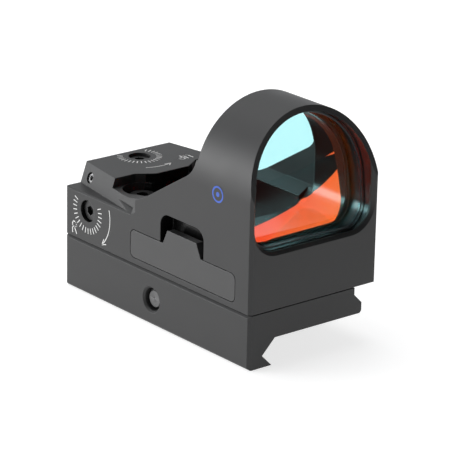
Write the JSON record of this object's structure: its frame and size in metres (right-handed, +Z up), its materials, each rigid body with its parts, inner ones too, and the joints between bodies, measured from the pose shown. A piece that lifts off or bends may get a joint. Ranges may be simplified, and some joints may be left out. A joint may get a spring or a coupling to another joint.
{
  "type": "open reflex sight",
  "caption": "Low open reflex sight with a round-topped lens hood, side battery tray, two slotted dials and a side clamp for a 21 mm dovetail rail.",
  "frame": {"origin": "centre of the face that rests on top of the rail", "axes": "+X right when facing the lens, +Y from the lens to the rear deck along the rail, +Z up"},
  "size_m": [0.0298, 0.05, 0.0416],
  "materials": {
    "housing_black": "fine blasted, black anodised",
    "mount_black": "fine blasted, black anodised",
    "tray_grey": "satin black anodised",
    "screw_black": "black oxide",
    "adjuster_steel": "dark satin",
    "steel_bright": "bright satin",
    "glass_front": "coated, cyan where looked through",
    "glass_mirror": "dichroic coat that reflects orange-red",
    "rubber_black": "matt",
    "brass": "machined",
    "contact_bronze": "gold-plated bronze strip",
    "cell_steel": "nickel-plated steel can",
    "board_green": "solder mask",
    "flex_amber": "polyimide film",
    "switch_black": "moulded",
    "holder_black": "moulded, matt",
    "led_package": "ceramic package with a clear dome",
    "window_red": "deep red window",
    "print_white": "matt white print",
    "print_blue": "matt blue print"
  },
  "bodies": {
    "body": {"housing": "housing_black", "mount_base": "mount_black", "base_gasket": "rubber_black", "locating_pins": "steel_bright", "mounting_screws": "screw_black", "lens_front": "glass_front", "lens_rear": "glass_mirror", "lens_seal": "rubber_black", "contact_positive": "contact_bronze", "contact_negative": "contact_bronze", "battery_flex": "flex_amber", "circuit_board": "board_green", "button_switch": "switch_black", "windage_guide_rod": "steel_bright", "adjuster_seals": "rubber_black", "emitter_window": "window_red"},
    "jaw": {"clamp_jaw": "mount_black", "clamp_washer": "steel_bright"},
    "clamp_bolt": {"clamp_screw": "steel_bright"},
    "tray": {"battery_tray": "tray_grey", "tray_seal": "rubber_black", "coin_cell": "cell_steel"},
    "button": {"power_button": "rubber_black"},
    "windage_adjuster": {"windage_screw": "adjuster_steel", "windage_clip": "steel_bright"},
    "cross_slide": {"windage_slide": "brass", "elevation_spring": "steel_bright"},
    "elevation_adjuster": {"elevation_screw": "adjuster_steel", "elevation_clip": "steel_bright"},
    "lift_nut": {"elevation_nut": "brass"},
    "emitter": {"emitter_holder": "holder_black", "led_emitter": "led_package"},
    "elevation_lock": {"elevation_lock_screw": "steel_bright"},
    "windage_lock": {"windage_lock_screw": "steel_bright"}
  },
  "joints": [
    {"name": "jaw_slide", "type": "slide", "parent": "body", "child": "jaw", "axis": [1, 0, 0], "range_m": [0, 0.0021]},
    {"name": "clamp_screw_turn", "type": "hinge", "parent": "jaw", "child": "clamp_bolt", "pos_m": [0, 0.0008, -0.0002], "axis": [1, 0, 0], "range_deg": [0, 1080]},
    {"name": "tray_slide", "type": "slide", "parent": "body", "child": "tray", "axis": [-1, 0, 0], "range_m": [0, 0.026]},
    {"name": "button_press", "type": "slide", "parent": "body", "child": "button", "axis": [-1, 0, 0], "range_m": [0, 0.00035], "stiffness_N_per_m": 400},
    {"name": "windage_turn", "type": "hinge", "parent": "body", "child": "windage_adjuster", "pos_m": [-0.0129, 0.0188, 0.0105], "axis": [-1, 0, 0], "range_deg": [-360, 360]},
    {"name": "windage_travel", "type": "slide", "parent": "body", "child": "cross_slide", "axis": [1, 0, 0], "range_m": [-0.0004, 0.0004]},
    {"name": "elevation_turn", "type": "hinge", "parent": "body", "child": "elevation_adjuster", "pos_m": [0, 0.0218, 0.0166], "axis": [0, 0, 1], "range_deg": [-360, 360]},
    {"name": "nut_travel", "type": "slide", "parent": "body", "child": "lift_nut", "axis": [0, 0, 1], "range_m": [-0.0004, 0.0004]},
    {"name": "emitter_travel", "type": "slide", "parent": "cross_slide", "child": "emitter", "axis": [0, 0, 1], "range_m": [-0.0004, 0.0004], "deforming": ["elevation_spring"]},
    {"name": "elevation_lock_turn", "type": "hinge", "parent": "body", "child": "elevation_lock", "pos_m": [-0.01025, 0.0224, 0.01493], "axis": [-0.9291, 0.1555, 0.3354], "range_deg": [0, 360]},
    {"name": "windage_lock_turn", "type": "hinge", "parent": "body", "child": "windage_lock", "pos_m": [-0.012, 0.024, 0.0105], "axis": [0, 1, 0], "range_deg": [0, 360]}
  ],
  "couplings": [
    {"joint": "clamp_screw_turn", "follows": "jaw_slide", "rad_per_m": 8975.9},
    {"joint": "windage_turn", "follows": "windage_travel", "rad_per_m": 15708},
    {"joint": "elevation_turn", "follows": "nut_travel", "rad_per_m": -15708},
    {"joint": "emitter_travel", "follows": "nut_travel", "ratio": 1}
  ]
}
